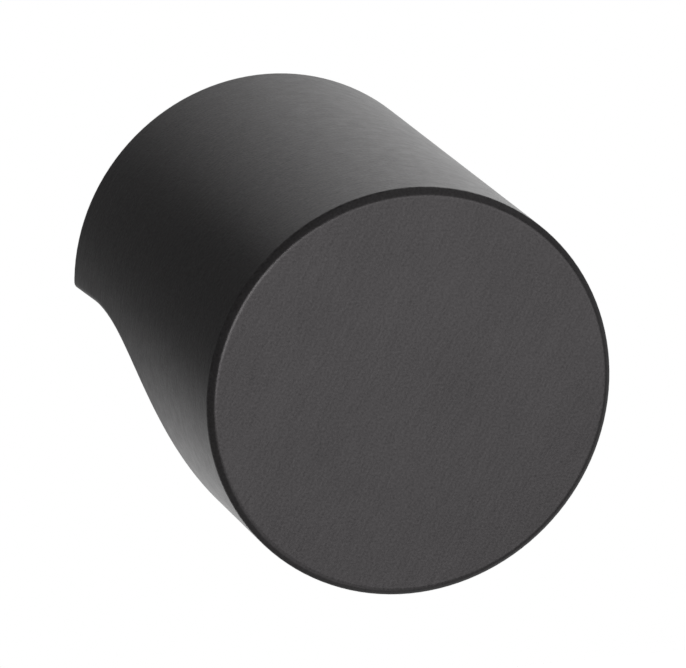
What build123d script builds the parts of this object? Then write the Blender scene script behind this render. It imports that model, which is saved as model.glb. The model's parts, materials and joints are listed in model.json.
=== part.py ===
from build123d import *
import math
import os

# Cabinet knob, turned from round bar in one piece, with a finger scoop milled under it.
# Millimetres. X to the right, the front towards -Y, +Z up. The origin is the mouth of
# the screw hole, in the back face that sits on the door.

# Body
BODY_DIAMETER = 20.0
PROJECTION = 24.0  # door to front face
FRONT_CHAMFER = 0.3

# Finger scoop, straight across the underside
SEAT_HEIGHT = 10.25  # top of the body down to the scoop's ceiling, at the door
CEILING_SLOPE = 3.5  # degrees that the ceiling rises towards the lip
LIP_THICKNESS = 6.6  # bar left in front of the scoop
SCOOP_RADIUS = 13.0  # hollow from the ceiling down to the lip
EDGE_RADIUS = 0.3  # round the scoop and the back face

# Screw hole, tapped M4, at the thread's major diameter
SCREW_DIAMETER = 4.0
SCREW_DEPTH = 12.0  # to the end of the full diameter
SCREW_LEAD_IN = 0.3
DRILL_POINT_ANGLE = 118.0

body_radius = BODY_DIAMETER / 2
axis_height = SEAT_HEIGHT / 2 - body_radius  # the screw hole is halfway up the seat
ceiling_height = -SEAT_HEIGHT / 2
scoop_length = PROJECTION - LIP_THICKNESS
ceiling_rise = scoop_length * math.tan(math.radians(CEILING_SLOPE))
scoop_runout = BODY_DIAMETER + SCOOP_RADIUS  # ends the cutter clear below the body
screw_radius = SCREW_DIAMETER / 2
drill_point = screw_radius / math.tan(math.radians(DRILL_POINT_ANGLE / 2))


def turned_bar():
    """Round bar about the Y axis, revolved from half its section, with a front chamfer."""
    with BuildPart() as bar:
        with BuildSketch(Plane.YZ):
            with BuildLine():
                Polyline(
                    (0, 0),
                    (0, body_radius),
                    (FRONT_CHAMFER - PROJECTION, body_radius),
                    (-PROJECTION, body_radius - FRONT_CHAMFER),
                    (-PROJECTION, 0),
                    close=True,
                )
            make_face()
        revolve(axis=Axis.Y)
    return bar.part


def scoop_cutter():
    """Ceiling that rises from the door forward, then a hollow that turns down into the lip."""
    with BuildPart() as cutter:
        with BuildSketch(Plane.YZ) as side:
            with BuildLine():
                Polyline(
                    (0, ceiling_height),
                    (-scoop_length, ceiling_height + ceiling_rise),
                    (-scoop_length, -scoop_runout),
                    (0, -scoop_runout),
                    close=True,
                )
            make_face()
            front_corners = side.vertices().sort_by(Axis.X)[:2]
            fillet(front_corners.sort_by(Axis.Y)[-1], SCOOP_RADIUS)
        extrude(amount=BODY_DIAMETER, both=True)
    return cutter.part


def screw_drill():
    """Lead-in, full diameter and drill point of the screw hole, as one revolved form."""
    with BuildPart() as drill:
        with BuildSketch(Plane.YZ):
            with BuildLine():
                Polyline(
                    (0, 0),
                    (0, screw_radius + SCREW_LEAD_IN),
                    (-SCREW_LEAD_IN, screw_radius),
                    (-SCREW_DEPTH, screw_radius),
                    (-SCREW_DEPTH - drill_point, 0),
                    close=True,
                )
            make_face()
        revolve(axis=Axis.Y)
    return drill.part


def knob():
    """The bar with its scoop, its broken edges and its screw hole."""
    with BuildPart() as body:
        with Locations((0, 0, axis_height)):
            add(turned_bar())
        add(scoop_cutter(), mode=Mode.SUBTRACT)
        cut_edges = edges(Select.LAST).filter_by(Axis.X, reverse=True)
        scoop_rim = cut_edges.filter_by_position(Axis.Y, -scoop_length, 0, (True, False))
        back_face = faces().sort_by(Axis.Y)[-1]
        fillet(scoop_rim + back_face.edges(), EDGE_RADIUS)
        add(screw_drill(), mode=Mode.SUBTRACT)
    return body.part


os.makedirs("parts", exist_ok=True)
export_step(knob(), "parts/knob.step")
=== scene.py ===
import json
import math

import bmesh
import bpy
from bpy.props import FloatProperty, FloatVectorProperty, IntProperty, PointerProperty
from bpy.types import Operator, Panel, PropertyGroup
from mathutils import Matrix, Vector


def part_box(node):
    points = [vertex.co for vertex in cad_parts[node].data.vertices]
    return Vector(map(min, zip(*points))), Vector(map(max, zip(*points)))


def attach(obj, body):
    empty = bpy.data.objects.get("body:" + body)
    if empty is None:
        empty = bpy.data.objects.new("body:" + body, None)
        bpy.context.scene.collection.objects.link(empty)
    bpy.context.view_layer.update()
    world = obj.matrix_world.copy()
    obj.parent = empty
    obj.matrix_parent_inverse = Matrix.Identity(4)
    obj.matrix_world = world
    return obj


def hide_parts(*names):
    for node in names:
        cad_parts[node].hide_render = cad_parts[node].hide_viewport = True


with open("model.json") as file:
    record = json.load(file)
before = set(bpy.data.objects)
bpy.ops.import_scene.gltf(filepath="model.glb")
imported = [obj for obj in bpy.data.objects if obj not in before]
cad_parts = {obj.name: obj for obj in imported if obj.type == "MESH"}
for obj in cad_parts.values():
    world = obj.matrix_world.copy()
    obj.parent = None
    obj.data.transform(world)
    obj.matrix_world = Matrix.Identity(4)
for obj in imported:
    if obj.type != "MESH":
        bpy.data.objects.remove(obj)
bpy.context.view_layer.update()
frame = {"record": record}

bl_info = {
    "name": "Cabinet Knob",
    "version": (1, 0, 0),
    "blender": (4, 5, 0),
    "location": "View3D > Sidebar > Knob",
    "description": "Body, black brushed finish, screw thread and studio of a turned cabinet knob",
    "category": "Object",
}

# The frame's own sizes, in metres
knob_low, knob_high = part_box("knob")
BODY_RADIUS = (knob_high.x - knob_low.x) / 2
AXIS_HEIGHT = (knob_high.z + knob_low.z) / 2
FRONT_Y = knob_low.y
SCREW_HOLE = next(mount for mount in frame["record"]["mounts"] if mount["name"] == "screw_hole")
SCREW_RADIUS = SCREW_HOLE["dims"]["r_mm"] / 1000
SCREW_LENGTH = SCREW_HOLE["dims"]["length_mm"] / 1000

MM = 0.001

# Working distances of the mesh tools
JOIN_DISTANCE = 0.001 * MM
CUT_DISTANCE = 0.0001 * MM
SINK = 0.02 * MM  # depth of the thread's foot in the wall of its hole

# Faces of the body
ROWS_ROUND = 126  # so many that the back face's arc ends on a row too
RIM_ROWS = 48
RIM_END = 0.01 * MM  # nearer than this to the middle, the rim is at its lowest point
CEILING_CUTS = 6
MOUTH_SEGMENTS = 64
EDGE_SEGMENTS = 5
FRONT_SEGMENTS = 3

# Strips of faces beside the rounded edges
EDGE_MARGIN = 1.2  # times the edge radius
FRONT_MARGIN = 1.4  # times the rounding of the chamfer's edges
LIP_MARGIN = 1.5  # times the margin beside the scoop's rim

# Corners, by the turn from face to face
SQUARE_CORNER = math.radians(60)
CHAMFER_CORNER = math.radians(30)
SHADED_CORNER = math.radians(28)
THREAD_CORNER = math.radians(25)

# Metric thread, as shares of its pitch
THREAD_DEPTH = 0.5413
THREAD_FOOT = 7 / 8
THREAD_CREST = 1 / 4

# Where the finish tells one surface from another
SIDE_BAND = 0.05 * MM
FRONT_BAND = 0.01 * MM

# Noise of the tool marks, and their second set as multiples of the first
MARK_ROUGHNESS = 0.55
SECOND_LENGTH = 0.6
SECOND_WIDTH = 0.7
SECOND_PITCH = 3

# Studio, with its lengths in metres
AIM_DEPTH = 11 * MM  # from the front face back to the point that the camera looks at
SENSOR_WIDTH = 36.0  # millimetres
ROOM_SLOPE = (0.08, 0, -0.06)  # a little brighter to the right and below
FLOOR_WIDTH = 1.6
FLOOR_ROUGHNESS = 0.9
BACKDROP_RADIUS = 1.2
CARD_WIDTH = 0.09
CARD_PLACE = (-0.0075, 0.02, AXIS_HEIGHT)
CARD_DARK_PLACE = (-0.055, 0.02, AXIS_HEIGHT + 0.0127)
CARD_TURN = math.radians(8)
CARD_FLATNESS = 1.76  # width of the dark oval over its height
CARD_DARK_RADIUS = 0.0394
CARD_LIGHT_RADIUS = 0.1139
FRONT_BOX = (0.8, 0.4)
FRONT_BOX_DISTANCE = 0.6
FRONT_BOX_OFFSET = Vector((-0.05, 0, 0.15))
EDGE_BOX = (0.3, 0.3)
EDGE_BOX_OFFSET = Vector((-0.216, -0.552, 0.048))
LOW_BOX = (0.24, 0.24)
LOW_BOX_OFFSET = Vector((-0.03, -0.175, -0.215))
TOP_BOX = (0.8, 0.6)
TOP_BOX_OFFSET = Vector((0.18, -0.12, 0.45))
FLOOR_BOX = (3.0, 3.0)
FLOOR_BOX_PLACE = Vector((0, 0, 2.0))


class KnobBody(PropertyGroup):
    """Sizes of the turned body and of its finger scoop."""

    front_chamfer: FloatProperty(
        name="Front Chamfer",
        description="Width of the 45 degree chamfer round the front face",
        subtype="DISTANCE",
        unit="LENGTH",
        default=0.3 * MM,
    )
    front_edge: FloatProperty(
        name="Front Edge",
        description="Rounding of the chamfer's own two edges",
        subtype="DISTANCE",
        unit="LENGTH",
        default=0.1 * MM,
    )
    seat_height: FloatProperty(
        name="Seat Height",
        description="Top of the body down to the scoop's ceiling, at the door",
        subtype="DISTANCE",
        unit="LENGTH",
        default=10.25 * MM,
    )
    ceiling_slope: FloatProperty(
        name="Ceiling Slope",
        description="Rise of the scoop's ceiling towards the lip",
        subtype="ANGLE",
        default=math.radians(3.5),
    )
    lip_thickness: FloatProperty(
        name="Lip Thickness",
        description="Bar left in front of the scoop",
        subtype="DISTANCE",
        unit="LENGTH",
        default=6.6 * MM,
    )
    scoop_radius: FloatProperty(
        name="Scoop Radius",
        description="Hollow from the ceiling down to the lip",
        subtype="DISTANCE",
        unit="LENGTH",
        default=13 * MM,
    )
    edge_radius: FloatProperty(
        name="Edge Radius",
        description="Rounding of the scoop's rim and of the back face",
        subtype="DISTANCE",
        unit="LENGTH",
        default=0.3 * MM,
    )
    row_angle: FloatProperty(
        name="Row Angle",
        description="Turn from one row of faces to the next",
        subtype="ANGLE",
        default=math.tau / ROWS_ROUND,
    )


class KnobFinish(PropertyGroup):
    """Black brushed metal: its colour, its gloss and the marks of each tool."""

    metal_colour: FloatVectorProperty(
        name="Metal Colour",
        description="Reflection of the black finish, seen straight on",
        subtype="COLOR",
        min=0.0,
        max=1.0,
        default=(0.0667, 0.0633, 0.065),
    )
    roughness: FloatProperty(
        name="Roughness",
        description="Mean roughness of the satin finish",
        subtype="FACTOR",
        min=0.05,
        max=1.0,
        default=0.34,
    )
    roughness_spread: FloatProperty(
        name="Roughness Spread",
        description="How far the tool marks roughen and smooth the finish",
        subtype="FACTOR",
        min=0.0,
        max=1.0,
        default=0.1,
    )
    streak_contrast: FloatProperty(
        name="Streak Contrast",
        description="How far the brush streaks on the front lighten and darken the metal",
        subtype="FACTOR",
        min=0.0,
        max=1.0,
        default=0.3,
    )
    streak_angle: FloatProperty(
        name="Streak Angle",
        description="Slope of the brush streaks on the front, up to the right",
        subtype="ANGLE",
        default=math.radians(57),
    )
    streak_length: FloatProperty(
        name="Streak Length",
        description="Length of a brush streak on the front",
        subtype="DISTANCE",
        unit="LENGTH",
        default=1.3 * MM,
    )
    streak_width: FloatProperty(
        name="Streak Width",
        description="Width of a brush streak on the front",
        subtype="DISTANCE",
        unit="LENGTH",
        default=0.13 * MM,
    )
    cross_angle: FloatProperty(
        name="Cross Angle",
        description="Turn of the second, finer set of brush streaks from the first",
        subtype="ANGLE",
        default=math.radians(14),
    )
    lathe_contrast: FloatProperty(
        name="Lathe Contrast",
        description="How far the turning and milling lines lighten and darken the metal",
        subtype="FACTOR",
        min=0.0,
        max=1.0,
        default=0.12,
    )
    lathe_length: FloatProperty(
        name="Lathe Length",
        description="Length of a turning line round the side",
        subtype="DISTANCE",
        unit="LENGTH",
        default=1.0 * MM,
    )
    lathe_pitch: FloatProperty(
        name="Lathe Pitch",
        description="Spacing of the turning lines round the side",
        subtype="DISTANCE",
        unit="LENGTH",
        default=0.2 * MM,
    )
    mill_length: FloatProperty(
        name="Mill Length",
        description="Length of a milling line in the scoop and on the back",
        subtype="DISTANCE",
        unit="LENGTH",
        default=7 * MM,
    )
    mill_pitch: FloatProperty(
        name="Mill Pitch",
        description="Spacing of the milling lines in the scoop and on the back",
        subtype="DISTANCE",
        unit="LENGTH",
        default=0.2 * MM,
    )
    front_grain: FloatProperty(
        name="Front Grain",
        description="How far the fine grain on the front and in the scoop lightens and darkens the metal",
        min=0.0,
        max=2.0,
        default=0.66,
    )
    side_grain: FloatProperty(
        name="Side Grain",
        description="How far the fine grain on the side lightens and darkens the metal",
        min=0.0,
        max=2.0,
        default=1.3,
    )
    grain_size: FloatProperty(
        name="Grain Size",
        description="Size of the fine grain",
        subtype="DISTANCE",
        unit="LENGTH",
        default=0.12 * MM,
    )
    cloud_contrast: FloatProperty(
        name="Cloud Contrast",
        description="How far broad soft patches lighten and darken the metal",
        subtype="FACTOR",
        min=0.0,
        max=1.0,
        default=0.2,
    )
    cloud_size: FloatProperty(
        name="Cloud Size",
        description="Size of the broad soft patches",
        subtype="DISTANCE",
        unit="LENGTH",
        default=5 * MM,
    )
    brush_depth: FloatProperty(
        name="Brush Depth",
        description="Depth of the streaks on the front, and of the grain there and in the scoop",
        subtype="DISTANCE",
        unit="LENGTH",
        default=0.005 * MM,
    )
    lathe_depth: FloatProperty(
        name="Lathe Depth",
        description="Depth of the turning and milling lines",
        subtype="DISTANCE",
        unit="LENGTH",
        default=0.0055 * MM,
    )
    side_grain_depth: FloatProperty(
        name="Side Grain Depth",
        description="Depth of the grain on the side",
        subtype="DISTANCE",
        unit="LENGTH",
        default=0.008 * MM,
    )


class KnobThread(PropertyGroup):
    """Metric thread of the screw hole."""

    pitch: FloatProperty(
        name="Pitch",
        description="Distance from one turn of the thread to the next",
        subtype="DISTANCE",
        unit="LENGTH",
        default=0.7 * MM,
    )
    lead_in: FloatProperty(
        name="Lead-in",
        description="Depth of the 45 degree countersink at the hole's mouth",
        subtype="DISTANCE",
        unit="LENGTH",
        default=0.3 * MM,
    )
    drill_point: FloatProperty(
        name="Drill Point",
        description="Angle of the drill's point at the bottom of the hole",
        subtype="ANGLE",
        default=math.radians(118),
    )
    run_out_turns: FloatProperty(
        name="Run-out",
        description="Turns over which the thread fades out at the bottom of the hole",
        default=2.0,
    )
    segments: IntProperty(
        name="Segments",
        description="Steps in one turn of the thread",
        min=12,
        max=96,
        default=48,
    )


class KnobStage(PropertyGroup):
    """Camera, floor, backdrop and lights."""

    azimuth: FloatProperty(
        name="Camera Azimuth",
        description="Camera's turn round the knob, from straight in front to the right",
        subtype="ANGLE",
        default=math.radians(-17.2),
    )
    elevation: FloatProperty(
        name="Camera Elevation",
        description="Camera's angle above the horizon",
        subtype="ANGLE",
        default=math.radians(15.615),
    )
    distance: FloatProperty(
        name="Camera Distance",
        description="From the camera to the point that it looks at, near the middle of the knob",
        subtype="DISTANCE",
        unit="LENGTH",
        default=0.3985,
    )
    lens: FloatProperty(
        name="Lens",
        description="Focal length in millimetres on a 36 mm sensor",
        default=431.3,
    )
    room_light: FloatProperty(
        name="Room Light",
        description="Brightness of the even light all round",
        min=0.0,
        default=0.3,
    )
    front_light: FloatProperty(
        name="Front Light",
        description="Brightness of the soft box that the front face reflects",
        min=0.0,
        default=1.11,
    )
    edge_light: FloatProperty(
        name="Edge Light",
        description="Brightness of the soft box that the front face's edge reflects at its left",
        min=0.0,
        default=2.5,
    )
    low_light: FloatProperty(
        name="Low Light",
        description="Brightness of the soft box that the front face's edge reflects at its bottom",
        min=0.0,
        default=0.5,
    )
    top_light: FloatProperty(
        name="Top Light",
        description="Brightness of the soft box that the front face's edge reflects at its top",
        min=0.0,
        default=0.12,
    )
    floor_light: FloatProperty(
        name="Floor Light",
        description="Brightness of the soft box above that lights the floor",
        min=0.0,
        default=4.0,
    )
    card_dark: FloatProperty(
        name="Card, Dark End",
        description="Brightness of the graded card behind the knob at its left",
        min=0.0,
        default=0.108,
    )
    card_light: FloatProperty(
        name="Card, Light End",
        description="Brightness of the graded card behind the knob at its right",
        min=0.0,
        default=1.744,
    )
    floor_drop: FloatProperty(
        name="Floor Drop",
        description="From the screw hole down to the floor",
        subtype="DISTANCE",
        unit="LENGTH",
        default=0.3,
    )
    floor_colour: FloatVectorProperty(
        name="Floor Colour",
        description="Colour of the pale floor",
        subtype="COLOR",
        min=0.0,
        max=1.0,
        default=(0.88, 0.88, 0.88),
    )


def mesh_object(name, mesh):
    """New object for a mesh, at the origin."""
    piece = bpy.data.objects.new(name, mesh)
    bpy.context.scene.collection.objects.link(piece)
    return piece


def add_node(tree, kind, **settings):
    """New node, with its plain settings given by name."""
    node = tree.nodes.new(kind)
    for name, value in settings.items():
        setattr(node, name, value)
    return node


def scalar(tree, operation, first, second):
    """Math node on two values, each a socket or a number."""
    node = add_node(tree, "ShaderNodeMath", operation=operation)
    for socket, value in zip(node.inputs, (first, second)):
        if isinstance(value, bpy.types.NodeSocket):
            tree.links.new(value, socket)
        else:
            socket.default_value = value
    return node.outputs[0]


def blend_scalar(tree, mask, low, high):
    """One value where the mask is 0 and another where it is 1."""
    node = add_node(tree, "ShaderNodeMix", data_type="FLOAT")
    for socket, value in zip((node.inputs[0], node.inputs[2], node.inputs[3]), (mask, low, high)):
        if isinstance(value, bpy.types.NodeSocket):
            tree.links.new(value, socket)
        else:
            socket.default_value = value
    return node.outputs[0]


def tool_marks(tree, place, size, turn=0.0, detail=3.0):
    """Noise from about -0.5 to 0.5, stretched to marks of a size in metres along X, Y and Z."""
    mapping = add_node(tree, "ShaderNodeMapping", vector_type="TEXTURE")
    mapping.inputs["Location"].default_value = (0, 0, AXIS_HEIGHT)
    mapping.inputs["Rotation"].default_value = (0, turn, 0)
    mapping.inputs["Scale"].default_value = size
    tree.links.new(place, mapping.inputs["Vector"])
    noise = add_node(tree, "ShaderNodeTexNoise")
    noise.inputs["Scale"].default_value = 1.0
    noise.inputs["Detail"].default_value = detail
    noise.inputs["Roughness"].default_value = MARK_ROUGHNESS
    tree.links.new(mapping.outputs["Vector"], noise.inputs["Vector"])
    return scalar(tree, "SUBTRACT", noise.outputs["Fac"], 0.5)


def black_brushed_metal(finish):
    """Satin black metal: turned side, brushed front, milled scoop, and fine grain all over."""
    material = bpy.data.materials.new("black_brushed_metal")
    material.use_nodes = True
    tree = material.node_tree
    shader = tree.nodes["Principled BSDF"]
    shader.inputs["Metallic"].default_value = 1.0
    place = add_node(tree, "ShaderNodeTexCoord").outputs["Object"]

    # Where each tool worked: the front face, the bar's own surface, or neither
    coordinates = add_node(tree, "ShaderNodeSeparateXYZ")
    tree.links.new(place, coordinates.inputs[0])
    height = scalar(tree, "SUBTRACT", coordinates.outputs["Z"], AXIS_HEIGHT)
    across = scalar(tree, "MULTIPLY", coordinates.outputs["X"], coordinates.outputs["X"])
    upward = scalar(tree, "MULTIPLY", height, height)
    radius = scalar(tree, "SQRT", scalar(tree, "ADD", across, upward), 0.0)
    on_side = scalar(tree, "GREATER_THAN", radius, BODY_RADIUS - SIDE_BAND)
    on_front = scalar(tree, "LESS_THAN", coordinates.outputs["Y"], FRONT_Y + FRONT_BAND)

    length, width = finish.streak_length, finish.streak_width
    turn = -finish.streak_angle
    streaks = scalar(
        tree,
        "ADD",
        tool_marks(tree, place, (length, length, width), turn),
        tool_marks(
            tree,
            place,
            (length * SECOND_LENGTH, length, width * SECOND_WIDTH),
            turn - finish.cross_angle,
        ),
    )
    length, pitch = finish.lathe_length, finish.lathe_pitch
    second = length * SECOND_LENGTH
    round_lines = scalar(
        tree,
        "ADD",
        tool_marks(tree, place, (length, pitch, length)),
        tool_marks(tree, place, (second, pitch * SECOND_PITCH, second), detail=1.0),
    )
    milled_lines = tool_marks(tree, place, (finish.mill_length, finish.mill_pitch, finish.mill_pitch))
    grain = tool_marks(tree, place, [finish.grain_size] * 3, detail=1.0)
    clouds = tool_marks(tree, place, [finish.cloud_size] * 3, detail=2.0)

    marks = blend_scalar(tree, on_side, milled_lines, round_lines)
    marks = blend_scalar(tree, on_front, marks, streaks)
    contrast = blend_scalar(tree, on_front, finish.lathe_contrast, finish.streak_contrast)
    shade = scalar(tree, "MULTIPLY", marks, contrast)
    grain_contrast = blend_scalar(tree, on_side, finish.front_grain, finish.side_grain)
    shade = scalar(tree, "ADD", shade, scalar(tree, "MULTIPLY", grain, grain_contrast))
    shade = scalar(tree, "ADD", shade, scalar(tree, "MULTIPLY", clouds, finish.cloud_contrast))

    colour = add_node(tree, "ShaderNodeVectorMath", operation="SCALE")
    colour.inputs[0].default_value = finish.metal_colour
    tree.links.new(scalar(tree, "ADD", shade, 1.0), colour.inputs["Scale"])
    tree.links.new(colour.outputs[0], shader.inputs["Base Color"])

    gloss = scalar(tree, "MULTIPLY", marks, finish.roughness_spread)
    tree.links.new(scalar(tree, "ADD", gloss, finish.roughness), shader.inputs["Roughness"])

    relief = add_node(tree, "ShaderNodeBump")
    relief.inputs["Strength"].default_value = 1.0
    relief.inputs["Distance"].default_value = 1.0
    mark_depth = blend_scalar(tree, on_front, finish.lathe_depth, finish.brush_depth)
    grain_depth = blend_scalar(tree, on_side, finish.brush_depth, finish.side_grain_depth)
    bumps = scalar(
        tree,
        "ADD",
        scalar(tree, "MULTIPLY", marks, mark_depth),
        scalar(tree, "MULTIPLY", grain, grain_depth),
    )
    tree.links.new(bumps, relief.inputs["Height"])
    tree.links.new(relief.outputs["Normal"], shader.inputs["Normal"])
    return material


class Scoop:
    """Side profile of the finger scoop, in heights from the bar's axis."""

    def __init__(self, body):
        self.slope = body.ceiling_slope
        self.radius = body.scoop_radius
        self.corner_z = BODY_RADIUS - body.seat_height
        self.centre_y = FRONT_Y + body.lip_thickness + self.radius
        self.centre_z = (
            self.corner_z - self.centre_y * math.tan(self.slope) - self.radius / math.cos(self.slope)
        )
        self.hollow_y = self.centre_y + self.radius * math.sin(self.slope)
        self.hollow_z = self.centre_z + self.radius * math.cos(self.slope)
        self.ceiling_length = -self.hollow_y / math.cos(self.slope)
        lip_turn = math.acos((-BODY_RADIUS - self.centre_z) / self.radius)
        self.lip_y = self.centre_y - self.radius * math.sin(lip_turn)
        self.sweep = self.slope + lip_turn

    def flatten(self, place):
        """Length along the profile from the door to a place on it."""
        if place.y >= self.hollow_y:
            return -place.y / math.cos(self.slope)
        turn = self.slope + math.atan2(self.centre_y - place.y, place.z - self.centre_z)
        return self.ceiling_length + self.radius * turn

    def bend(self, x, length):
        """Place on the scoop at a length along its profile."""
        if length <= self.ceiling_length:
            return (x, -length * math.cos(self.slope), self.corner_z + length * math.sin(self.slope))
        turn = (length - self.ceiling_length) / self.radius - self.slope
        return (
            x,
            self.centre_y - self.radius * math.sin(turn),
            self.centre_z + self.radius * math.cos(turn),
        )


def scoop_rim(sheet, corner, scoop):
    """Right half of the scoop's rim, from its corner at the door to the lowest point of the lip."""
    place = bmesh.ops.extrude_vert_indiv(sheet, verts=[corner])["verts"][0]
    place.co = (0, scoop.hollow_y, scoop.hollow_z)
    ceiling = place.link_edges[0]
    # Shorter steps further down, where the rim turns under the bar
    shares = [math.sin(math.pi / 2 * row / RIM_ROWS) for row in range(RIM_ROWS + 1)]
    for above, below in zip(shares, shares[1:]):
        step = bmesh.ops.spin(
            sheet,
            geom=[place],
            cent=(0, scoop.centre_y, scoop.centre_z),
            axis=(1, 0, 0),
            angle=scoop.sweep * (below - above),
            steps=1,
        )
        place = next(item for item in step["geom_last"] if isinstance(item, bmesh.types.BMVert))
    bmesh.ops.subdivide_edges(sheet, edges=[ceiling], cuts=CEILING_CUTS)
    for vertex in sheet.verts:
        if vertex.co.y < 0:
            reach = BODY_RADIUS**2 - vertex.co.z**2
            vertex.co.x = math.sqrt(reach) if reach > RIM_END**2 else 0


def mirror_flat(sheet):
    """Left half of a flat outline, from its right half."""
    outline = sheet.verts[:] + sheet.edges[:]
    bmesh.ops.mirror(sheet, geom=outline, matrix=Matrix(), merge_dist=CUT_DISTANCE, axis="X")


def rows_of_faces(sheet, margin, direction, levels):
    """Fill a flat outline: a margin along its edge, and rows of faces between the levels."""
    inner = bmesh.ops.edgeloop_fill(sheet, edges=sheet.edges[:])["faces"]
    bmesh.ops.inset_region(sheet, faces=inner, thickness=margin, use_boundary=True, use_even_offset=True)
    rows = inner + list(inner[0].edges) + list(inner[0].verts)
    for level in levels:
        cut = bmesh.ops.bisect_plane(
            sheet,
            geom=rows,
            dist=CUT_DISTANCE,
            plane_co=Vector(direction) * level,
            plane_no=direction,
        )
        rows = cut["geom"]


def side_sheet(body, scoop, margin):
    """The bar's side, unrolled flat from its lowest line, given its faces and rolled up again."""
    sheet = bmesh.new()
    top = sheet.verts.new((0, 0, BODY_RADIUS))
    back_turn = math.acos(scoop.corner_z / BODY_RADIUS)
    arc = bmesh.ops.spin(
        sheet,
        geom=[top],
        cent=(0, 0, 0),
        axis=(0, 1, 0),
        angle=back_turn,
        steps=round(back_turn / body.row_angle),
    )
    corner = next(item for item in arc["geom_last"] if isinstance(item, bmesh.types.BMVert))
    scoop_rim(sheet, corner, scoop)
    for vertex in sheet.verts:
        turn = math.atan2(vertex.co.x, vertex.co.z)
        vertex.co = (BODY_RADIUS * turn, vertex.co.y, 0)
    mirror_flat(sheet)
    ends = [vertex for vertex in sheet.verts if len(vertex.link_edges) == 1]
    front = bmesh.ops.extrude_vert_indiv(sheet, verts=ends)["verts"]
    for vertex in front:
        vertex.co.y = FRONT_Y + body.front_chamfer
    turns = round(math.tau / body.row_angle)
    front_edge = bmesh.ops.contextual_create(sheet, geom=front)["edges"]
    bmesh.ops.subdivide_edges(sheet, edges=front_edge, cuts=turns - 1)
    # The margin along the seam takes the place of the first level and of the last
    levels = [BODY_RADIUS * (math.tau * row / turns - math.pi) for row in range(2, turns - 1)]
    rows_of_faces(sheet, margin, (1, 0, 0), levels)
    # Narrow strips next to the front and the lip keep their rounded edges from bending the shading
    front_y = FRONT_Y + body.front_chamfer
    front_strip = body.front_edge * FRONT_MARGIN
    for y in (front_y + front_strip, front_y + margin, scoop.lip_y - margin * LIP_MARGIN):
        bmesh.ops.bisect_plane(
            sheet,
            geom=sheet.verts[:] + sheet.edges[:] + sheet.faces[:],
            dist=JOIN_DISTANCE,
            plane_co=(0, y, 0),
            plane_no=(0, 1, 0),
        )
    for vertex in sheet.verts:
        turn = vertex.co.x / BODY_RADIUS
        vertex.co = (BODY_RADIUS * math.sin(turn), vertex.co.y, BODY_RADIUS * math.cos(turn))
    return sheet


def scoop_sheet(body, scoop, margin):
    """The scoop's surface, flattened, given its faces and bent again."""
    sheet = bmesh.new()
    corner = sheet.verts.new((math.sqrt(BODY_RADIUS**2 - scoop.corner_z**2), 0, scoop.corner_z))
    scoop_rim(sheet, corner, scoop)
    for vertex in sheet.verts:
        vertex.co = (vertex.co.x, -scoop.flatten(vertex.co), 0)
    mirror_flat(sheet)
    ends = [vertex for vertex in sheet.verts if len(vertex.link_edges) == 1]
    bmesh.ops.contextual_create(sheet, geom=ends)
    rows = round(scoop.sweep / body.row_angle)
    hollow_length = scoop.radius * scoop.sweep
    levels = [scoop.ceiling_length + hollow_length * row / rows for row in range(rows)]
    rows_of_faces(sheet, margin, (0, -1, 0), levels)
    for vertex in sheet.verts:
        vertex.co = scoop.bend(vertex.co.x, -vertex.co.y)
    return sheet


def join_sheets(sheets):
    """One mesh of several, joined where they meet."""
    joined = bmesh.new()
    for sheet in sheets:
        data = bpy.data.meshes.new("sheet")
        sheet.to_mesh(data)
        sheet.free()
        joined.from_mesh(data)
        bpy.data.meshes.remove(data)
    bmesh.ops.remove_doubles(joined, verts=joined.verts, dist=JOIN_DISTANCE)
    return joined


def open_edges(mesh, y):
    """Edges with one face, in the plane across the bar at y."""
    return [
        edge
        for edge in mesh.edges
        if edge.is_boundary and all(abs(vertex.co.y - y) < JOIN_DISTANCE for vertex in edge.verts)
    ]


def extend_ring(mesh, edges, centre_z, radius, y):
    """Next ring of a turned form, from the last one's edges."""
    grown = bmesh.ops.extrude_edge_only(mesh, edges=edges)["geom"]
    for vertex in grown:
        if isinstance(vertex, bmesh.types.BMVert):
            outwards = Vector((vertex.co.x, 0, vertex.co.z - centre_z))
            outwards.length = radius
            vertex.co = (outwards.x, y, centre_z + outwards.z)
    return [edge for edge in grown if isinstance(edge, bmesh.types.BMEdge) and edge.is_boundary]


def close_front(mesh, body):
    """Chamfer and front face."""
    ring = open_edges(mesh, FRONT_Y + body.front_chamfer)
    ring = extend_ring(mesh, ring, 0, BODY_RADIUS - body.front_chamfer, FRONT_Y)
    face = bmesh.ops.edgeloop_fill(mesh, edges=ring)["faces"]
    strip = body.front_edge * FRONT_MARGIN
    bmesh.ops.inset_region(mesh, faces=face, thickness=strip, use_even_offset=True)


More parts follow.
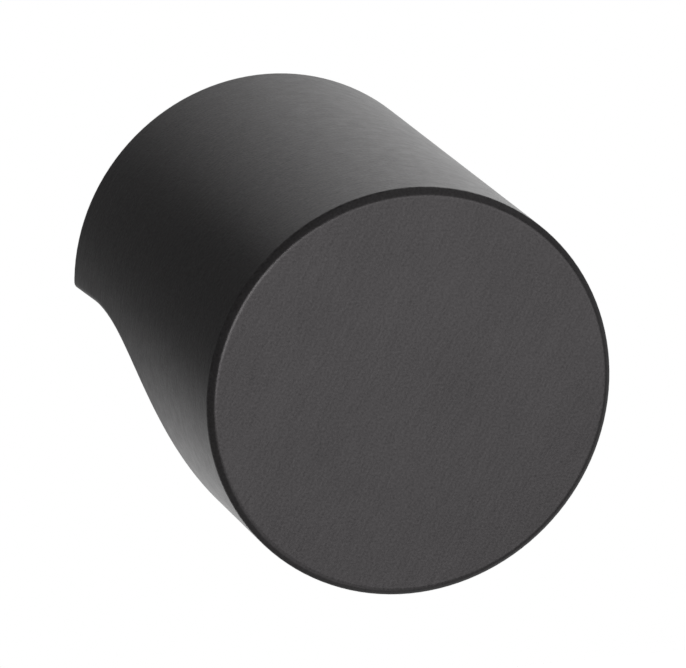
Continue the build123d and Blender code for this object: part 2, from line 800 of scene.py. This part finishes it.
def close_back(mesh, thread, margin):
    """Back face with the screw hole in it."""
    face = bmesh.ops.edgeloop_fill(mesh, edges=open_edges(mesh, 0))["faces"]
    bmesh.ops.inset_region(mesh, faces=face, thickness=margin, use_even_offset=True)
    hole_z = -AXIS_HEIGHT
    bmesh.ops.create_circle(
        mesh,
        segments=MOUTH_SEGMENTS,
        radius=SCREW_RADIUS + thread.lead_in,
        matrix=Matrix.Translation((0, 0, hole_z)) @ Matrix.Rotation(math.radians(90), 4, "X"),
    )
    ring = [edge for edge in mesh.edges if edge.is_wire]
    rest = list(face[0].edges)
    bmesh.ops.delete(mesh, geom=face, context="FACES_ONLY")
    bmesh.ops.triangle_fill(mesh, edges=rest + ring, use_beauty=True)
    bottom = -thread.lead_in - SCREW_LENGTH
    point = SCREW_RADIUS / math.tan(thread.drill_point / 2)
    ring = extend_ring(mesh, ring, hole_z, SCREW_RADIUS, -thread.lead_in)
    ring = extend_ring(mesh, ring, hole_z, SCREW_RADIUS, bottom)
    extend_ring(mesh, ring, hole_z, CUT_DISTANCE, bottom - point)
    bmesh.ops.remove_doubles(mesh, verts=mesh.verts, dist=JOIN_DISTANCE)


def round_edges(mesh, edges, radius, segments):
    """Rounded edges."""
    bmesh.ops.bevel(
        mesh,
        geom=edges,
        offset=radius,
        offset_type="OFFSET",
        affect="EDGES",
        segments=segments,
        profile=0.5,
        material=-1,
        clamp_overlap=False,
    )


class KNOB_OT_body(Operator):
    """Model the knob's body in fine, even rows of faces, in its black brushed finish"""

    bl_idname = "knob.body"
    bl_label = "Body"

    def execute(self, context):
        body = context.scene.knob_body
        scoop = Scoop(body)
        margin = body.edge_radius * EDGE_MARGIN
        mesh = join_sheets((side_sheet(body, scoop, margin), scoop_sheet(body, scoop, margin)))
        close_front(mesh, body)
        close_back(mesh, context.scene.knob_thread, margin)
        bmesh.ops.recalc_face_normals(mesh, faces=mesh.faces)

        corners = {edge: edge.calc_face_angle(0) for edge in mesh.edges}
        square = [edge for edge, angle in corners.items() if angle > SQUARE_CORNER]
        front_y = FRONT_Y + body.front_chamfer + JOIN_DISTANCE
        chamfer = [
            edge
            for edge, angle in corners.items()
            if angle > CHAMFER_CORNER and all(vertex.co.y < front_y for vertex in edge.verts)
        ]
        round_edges(mesh, square, body.edge_radius, EDGE_SEGMENTS)
        round_edges(mesh, chamfer, body.front_edge, FRONT_SEGMENTS)
        bmesh.ops.translate(mesh, verts=mesh.verts, vec=(0, 0, AXIS_HEIGHT))

        data = bpy.data.meshes.new("knob_body")
        mesh.to_mesh(data)
        mesh.free()
        data.shade_smooth()
        data.set_sharp_from_angle(angle=SHADED_CORNER)
        piece = mesh_object("knob_body", data)
        data.materials.append(black_brushed_metal(context.scene.knob_finish))
        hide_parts("knob")
        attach(piece, "root")
        return {"FINISHED"}


class KNOB_OT_thread(Operator):
    """Model the crests of the thread in the screw hole"""

    bl_idname = "knob.thread"
    bl_label = "Screw Thread"

    def execute(self, context):
        thread = context.scene.knob_thread
        foot_radius = SCREW_RADIUS + SINK
        crest_radius = SCREW_RADIUS - thread.pitch * THREAD_DEPTH
        half_foot = thread.pitch * THREAD_FOOT / 2
        half_crest = thread.pitch * THREAD_CREST / 2
        first_turn = -half_foot - SINK
        last_turn = half_foot - SCREW_LENGTH + SINK
        turns = (first_turn - last_turn) / thread.pitch
        steps = round(turns * thread.segments)

        mesh = bmesh.new()
        section = [
            mesh.verts.new((radius, first_turn + offset, 0))
            for radius, offset in (
                (foot_radius, half_foot),
                (crest_radius, half_crest),
                (crest_radius, -half_crest),
                (foot_radius, -half_foot),
            )
        ]
        ridge_end = mesh.faces.new(section)
        bmesh.ops.spin(
            mesh,
            geom=[ridge_end],
            axis=(0, -1, 0),
            cent=(0, 0, 0),
            dvec=(0, -thread.pitch / thread.segments, 0),
            angle=math.tau * steps / thread.segments,
            steps=steps,
        )
        bmesh.ops.holes_fill(mesh, edges=[edge for edge in mesh.edges if edge.is_boundary])

        # The countersink cuts the first crests back, and the tap's lead leaves the last ones shallow.
        run_out = thread.run_out_turns * thread.pitch
        fade = (foot_radius - crest_radius) / run_out
        for vertex in mesh.verts:
            outwards = Vector((vertex.co.x, 0, vertex.co.z))
            countersink = SCREW_RADIUS + thread.lead_in + vertex.co.y + SINK
            shallow = foot_radius - (vertex.co.y - last_turn) * fade
            outwards.length = max(outwards.length, countersink, shallow)
            vertex.co = (outwards.x, vertex.co.y, outwards.z)
        bmesh.ops.recalc_face_normals(mesh, faces=mesh.faces)

        data = bpy.data.meshes.new("screw_thread")
        mesh.to_mesh(data)
        mesh.free()
        data.shade_smooth()
        data.set_sharp_from_angle(angle=THREAD_CORNER)
        piece = mesh_object("screw_thread", data)
        data.materials.append(bpy.data.materials["black_brushed_metal"])
        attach(piece, "root")
        return {"FINISHED"}


def plain_material(name, colour, roughness):
    """Matt paint."""
    material = bpy.data.materials.new(name)
    material.use_nodes = True
    shader = material.node_tree.nodes["Principled BSDF"]
    shader.inputs["Base Color"].default_value = (*colour, 1)
    shader.inputs["Roughness"].default_value = roughness
    return material


def glowing_material(name):
    """White glow, and its strength socket."""
    material = bpy.data.materials.new(name)
    material.use_nodes = True
    tree = material.node_tree
    tree.nodes.remove(tree.nodes["Principled BSDF"])
    glow = add_node(tree, "ShaderNodeEmission")
    tree.links.new(glow.outputs[0], tree.nodes["Material Output"].inputs["Surface"])
    return material, glow.inputs["Strength"]


def sheet_mesh(name, width):
    """Square sheet of mesh in the XY plane."""
    mesh = bmesh.new()
    bmesh.ops.create_grid(mesh, x_segments=1, y_segments=1, size=width / 2)
    data = bpy.data.meshes.new(name)
    mesh.to_mesh(data)
    mesh.free()
    return data


def add_camera(stage, aim):
    """Camera at the photograph's viewing angle."""
    back = Vector(
        (
            math.sin(stage.azimuth) * math.cos(stage.elevation),
            -math.cos(stage.azimuth) * math.cos(stage.elevation),
            math.sin(stage.elevation),
        )
    )
    lens = bpy.data.cameras.new("camera")
    lens.lens = stage.lens
    lens.sensor_width = SENSOR_WIDTH
    camera = bpy.data.objects.new("camera", lens)
    bpy.context.scene.collection.objects.link(camera)
    camera.location = aim + back * stage.distance
    camera.rotation_euler = back.to_track_quat("Z", "Y").to_euler()
    bpy.context.scene.camera = camera
    return back


def add_soft_box(name, place, aim, size, brightness):
    """Area light of an even brightness, which the camera doesn't see."""
    width, height = size
    light = bpy.data.lights.new(name, "AREA")
    light.shape = "RECTANGLE"
    light.size = width
    light.size_y = height
    light.energy = brightness * math.pi * width * height
    box = bpy.data.objects.new(name, light)
    box.location = place
    box.rotation_euler = (place - aim).to_track_quat("Z", "Y").to_euler()
    box.visible_camera = False
    bpy.context.scene.collection.objects.link(box)
    return box


def light_room(scene, stage):
    """World light, even but for a slight slope."""
    world = bpy.data.worlds.new("room")
    world.use_nodes = True
    scene.world = world
    tree = world.node_tree
    tree.nodes["Background"].inputs["Color"].default_value = (1, 1, 1, 1)
    slope = add_node(tree, "ShaderNodeVectorMath", operation="DOT_PRODUCT")
    tree.links.new(add_node(tree, "ShaderNodeTexCoord").outputs["Object"], slope.inputs[0])
    slope.inputs[1].default_value = ROOM_SLOPE
    room = scalar(tree, "ADD", slope.outputs["Value"], stage.room_light)
    tree.links.new(room, tree.nodes["Background"].inputs["Strength"])


def add_floor(stage):
    """Pale floor, which the knob doesn't reflect."""
    floor = mesh_object("floor", sheet_mesh("floor", FLOOR_WIDTH))
    floor.data.transform(Matrix.Translation((0, 0, -stage.floor_drop)))
    floor.data.materials.append(plain_material("pale_floor", stage.floor_colour, FLOOR_ROUGHNESS))
    floor.visible_glossy = False
    floor.visible_shadow = False
    return floor


def add_backdrop():
    """White paper all round, which only the camera sees."""
    bubble = bmesh.new()
    bmesh.ops.create_icosphere(bubble, subdivisions=4, radius=BACKDROP_RADIUS)
    data = bpy.data.meshes.new("backdrop")
    bubble.to_mesh(data)
    bubble.free()
    backdrop = mesh_object("backdrop", data)
    paper, strength = glowing_material("white_paper")
    strength.default_value = 1.0
    data.materials.append(paper)
    backdrop.visible_diffuse = False
    backdrop.visible_glossy = False
    backdrop.visible_shadow = False
    return backdrop


def add_graded_card(stage):
    """Card behind the knob, dark in an oval at its left and light at its right, which the side reflects."""
    card = mesh_object("graded_card", sheet_mesh("graded_card", CARD_WIDTH))
    upright = Matrix.Rotation(math.radians(90), 4, "X")
    card.data.transform(Matrix.Translation(CARD_PLACE) @ upright)
    graded, strength = glowing_material("graded_card")
    tree = graded.node_tree
    oval = add_node(tree, "ShaderNodeMapping", vector_type="TEXTURE")
    oval.inputs["Location"].default_value = CARD_DARK_PLACE
    oval.inputs["Rotation"].default_value = (0, CARD_TURN, 0)
    oval.inputs["Scale"].default_value = (1, 1, 1 / CARD_FLATNESS)
    tree.links.new(add_node(tree, "ShaderNodeTexCoord").outputs["Object"], oval.inputs["Vector"])
    distance = add_node(tree, "ShaderNodeVectorMath", operation="LENGTH")
    tree.links.new(oval.outputs["Vector"], distance.inputs[0])
    ramp = add_node(tree, "ShaderNodeMapRange")
    tree.links.new(distance.outputs["Value"], ramp.inputs["Value"])
    ramp.inputs["From Min"].default_value = CARD_DARK_RADIUS
    ramp.inputs["From Max"].default_value = CARD_LIGHT_RADIUS
    ramp.inputs["To Min"].default_value = stage.card_dark
    ramp.inputs["To Max"].default_value = stage.card_light
    tree.links.new(ramp.outputs["Result"], strength)
    card.data.materials.append(graded)
    card.visible_camera = False
    card.visible_diffuse = False
    card.visible_shadow = False
    return card


class KNOB_OT_stage(Operator):
    """Set up the camera, the floor, the backdrop and the lights"""

    bl_idname = "knob.stage"
    bl_label = "Studio"

    def execute(self, context):
        scene = context.scene
        stage = scene.knob_stage
        scene.view_settings.view_transform = "Standard"
        aim = Vector((0, FRONT_Y + AIM_DEPTH, AXIS_HEIGHT))
        back = add_camera(stage, aim)
        light_room(scene, stage)
        floor = add_floor(stage)
        backdrop = add_backdrop()
        card = add_graded_card(stage)

        mirrored = Vector((-back.x, back.y, -back.z))  # where the front face turns the camera's view
        place = aim + mirrored * FRONT_BOX_DISTANCE + FRONT_BOX_OFFSET
        add_soft_box("front_light", place, aim, FRONT_BOX, stage.front_light)
        add_soft_box("edge_light", aim + EDGE_BOX_OFFSET, aim, EDGE_BOX, stage.edge_light)
        add_soft_box("low_light", aim + LOW_BOX_OFFSET, aim, LOW_BOX, stage.low_light)
        add_soft_box("top_light", aim + TOP_BOX_OFFSET, aim, TOP_BOX, stage.top_light)
        wash = add_soft_box("floor_light", FLOOR_BOX_PLACE, aim, FLOOR_BOX, stage.floor_light)
        wash.visible_glossy = False
        return {"FINISHED"}


class KNOB_PT_sidebar(Panel):
    """The knob's settings and steps"""

    bl_label = "Cabinet Knob"
    bl_idname = "KNOB_PT_sidebar"
    bl_space_type = "VIEW_3D"
    bl_region_type = "UI"
    bl_category = "Knob"

    def draw(self, context):
        for groups, step in STEPS:
            box = self.layout.box()
            for group in groups:
                settings = getattr(context.scene, group)
                for name in settings.bl_rna.properties.keys():
                    if name not in ("rna_type", "name"):
                        box.prop(settings, name)
            box.operator(step.bl_idname)


SETTINGS = (
    ("knob_body", KnobBody),
    ("knob_finish", KnobFinish),
    ("knob_thread", KnobThread),
    ("knob_stage", KnobStage),
)
STEPS = (
    (("knob_body", "knob_finish"), KNOB_OT_body),
    (("knob_thread",), KNOB_OT_thread),
    (("knob_stage",), KNOB_OT_stage),
)


def register():
    for name, group in SETTINGS:
        bpy.utils.register_class(group)
        setattr(bpy.types.Scene, name, PointerProperty(type=group))
    for _, step in STEPS:
        bpy.utils.register_class(step)
    bpy.utils.register_class(KNOB_PT_sidebar)


def unregister():
    bpy.utils.unregister_class(KNOB_PT_sidebar)
    for _, step in reversed(STEPS):
        bpy.utils.unregister_class(step)
    for name, group in reversed(SETTINGS):
        delattr(bpy.types.Scene, name)
        bpy.utils.unregister_class(group)


def main():
    register()
    bpy.ops.knob.body()
    bpy.ops.knob.thread()
    bpy.ops.knob.stage()


if __name__ == "__main__":
    main()
